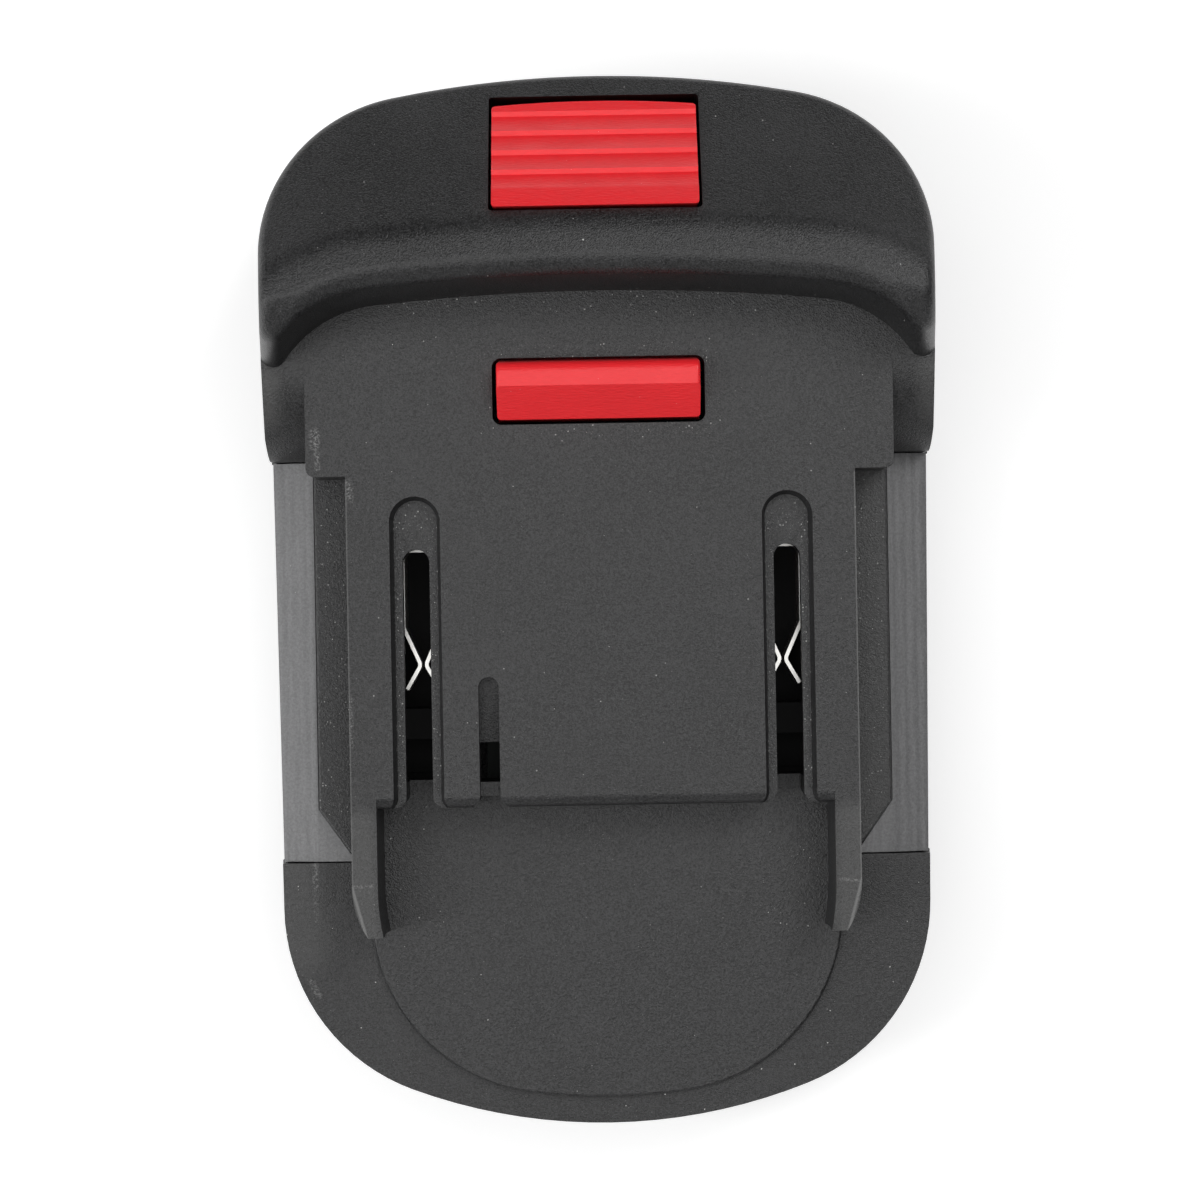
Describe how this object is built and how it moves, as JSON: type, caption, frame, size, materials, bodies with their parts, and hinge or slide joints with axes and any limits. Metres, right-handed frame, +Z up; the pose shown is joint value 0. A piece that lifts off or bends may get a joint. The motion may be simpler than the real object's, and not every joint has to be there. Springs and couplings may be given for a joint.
{
  "type": "tool battery adapter",
  "caption": "Slide-on adapter with a T-rail plate and sprung latch on top for a cordless tool, and a channel underneath for a battery of another fitting.",
  "frame": {"origin": "centre of the footprint, on the surface that the adapter stands on", "axes": "+X to the right with the hood ahead, +Y towards the hood, +Z up from the battery side to the tool side"},
  "size_m": [0.0754, 0.1176, 0.043],
  "materials": {
    "casing_plastic": "fine sparked grain",
    "grip_plastic": "satin",
    "latch_plastic": "satin",
    "inner_plastic": "matte",
    "tinned_contact": "tinned",
    "spring_steel": "drawn wire",
    "screw_steel": "dark zinc",
    "circuit_board": "solder mask",
    "chip_plastic": "matte",
    "capacitor_can": "satin",
    "red_lead_cover": "satin",
    "black_lead_cover": "satin"
  },
  "bodies": {
    "housing": {"upper_casing": "casing_plastic", "lower_casing": "casing_plastic", "side_grip_left": "grip_plastic", "side_grip_right": "grip_plastic", "latch_spring_left": "spring_steel", "latch_spring_right": "spring_steel", "clip_carrier_left": "inner_plastic", "clip_carrier_right": "inner_plastic", "contact_clip_left": "tinned_contact", "contact_clip_right": "tinned_contact", "blade_holder": "inner_plastic", "blade_terminal_left": "tinned_contact", "blade_terminal_right": "tinned_contact", "protection_board": "circuit_board", "power_transistors": "chip_plastic", "control_chip": "chip_plastic", "electrolytic_capacitor": "capacitor_can", "casing_screws": "screw_steel", "small_screws": "screw_steel", "positive_lead": "red_lead_cover", "negative_lead_battery": "black_lead_cover", "negative_lead_tool": "black_lead_cover", "sense_lead": "red_lead_cover"},
    "latch": {"release_latch": "latch_plastic"}
  },
  "joints": [
    {"name": "latch_press", "type": "slide", "parent": "housing", "child": "latch", "axis": [0, 0, -1], "range_m": [0, 0.004], "stiffness_N_per_m": 1000, "springref_m": -0.005, "deforming": ["latch_spring_left", "latch_spring_right"]}
  ]
}
